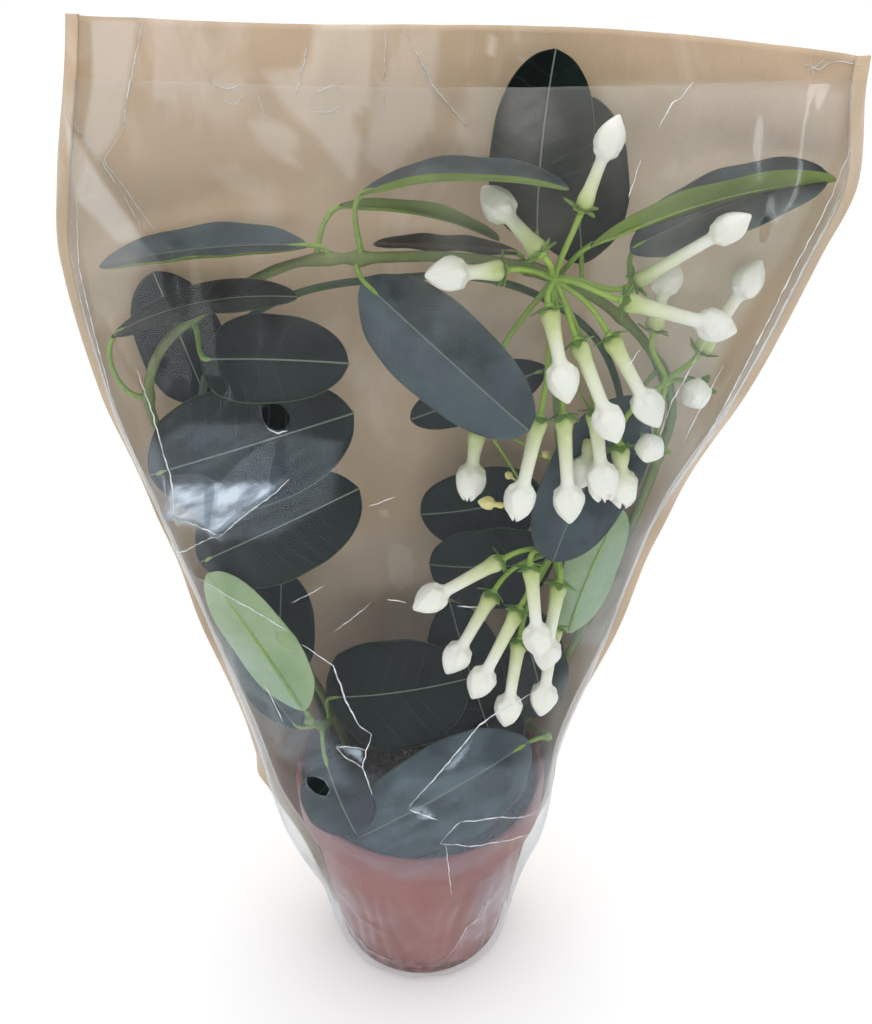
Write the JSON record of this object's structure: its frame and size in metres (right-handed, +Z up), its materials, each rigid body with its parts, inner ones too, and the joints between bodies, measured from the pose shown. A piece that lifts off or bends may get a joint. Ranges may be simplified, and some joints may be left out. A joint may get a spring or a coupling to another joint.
{
  "type": "madagascar jasmine",
  "caption": "Climbing plant with leathery leaves and bunches of waxy white buds, trained over a wire hoop in a round nursery pot and wrapped in a flared paper and film sleeve.",
  "frame": {"origin": "middle of the underside of the pot, on the surface that it stands on", "axes": "+Z up, -Y out of the sleeve's clear side, +X to the right as seen from there"},
  "size_m": [0.3075, 0.1359, 0.489],
  "materials": {
    "pot_plastic": "dusty terracotta rose, satin",
    "soil": "crumbly dark potting soil",
    "coated_wire": "dark green plastic coating",
    "stem_green": "smooth green bark",
    "leaf_green": "dark glossy upper side, pale green underside",
    "stalk_green": "satin",
    "petal_white": "waxy ivory white",
    "clear_film": "clear, glossy, creased",
    "kraft_paper": "brown paper, laminated, crumpled"
  },
  "bodies": {
    "root": {"pot": "pot_plastic", "hoop": "coated_wire", "vine": "stem_green", "soil": "soil", "leaf_top_tall": "leaf_green", "leaf_top_dark": "leaf_green", "leaf_top_flat": "leaf_green", "leaf_top_under": "leaf_green", "leaf_top_thin": "leaf_green", "leaf_left_high": "leaf_green", "leaf_left_cross": "leaf_green", "leaf_left_back": "leaf_green", "leaf_left_upper": "leaf_green", "leaf_left_front": "leaf_green", "leaf_left_mid": "leaf_green", "leaf_left_pale": "leaf_green", "leaf_left_low_back": "leaf_green", "leaf_left_low": "leaf_green", "leaf_centre_low": "leaf_green", "leaf_rim_left": "leaf_green", "leaf_front_low": "leaf_green", "leaf_right_back_high": "leaf_green", "leaf_right_back_mid": "leaf_green", "leaf_right_low_left": "leaf_green", "leaf_right_low_right": "leaf_green", "leaf_right_front": "leaf_green", "leaf_right_pale": "leaf_green", "leaf_right_arch": "leaf_green", "leaf_right_dark": "leaf_green", "leaf_small_behind": "leaf_green", "leaf_centre": "leaf_green", "bunch_upper": "stalk_green", "bud_upper_1": "petal_white", "bud_upper_2": "petal_white", "bud_upper_3": "petal_white", "bud_upper_4": "petal_white", "bud_upper_5": "petal_white", "bud_upper_6": "petal_white", "bud_upper_7": "petal_white", "bud_upper_8": "petal_white", "bud_upper_9": "petal_white", "bud_upper_10": "petal_white", "bud_upper_11": "petal_white", "bud_upper_12": "petal_white", "bunch_side": "stalk_green", "bud_side_1": "petal_white", "bud_side_2": "petal_white", "bud_side_3": "petal_white", "bud_side_4": "petal_white", "bud_side_5": "petal_white", "bunch_lower": "stalk_green", "bud_lower_1": "petal_white", "bud_lower_2": "petal_white", "bud_lower_3": "petal_white", "bud_lower_4": "petal_white", "bud_lower_5": "petal_white", "bud_lower_6": "petal_white", "bud_lower_7": "petal_white", "sleeve_film": "clear_film", "sleeve_paper": "kraft_paper"}
  },
  "joints": []
}
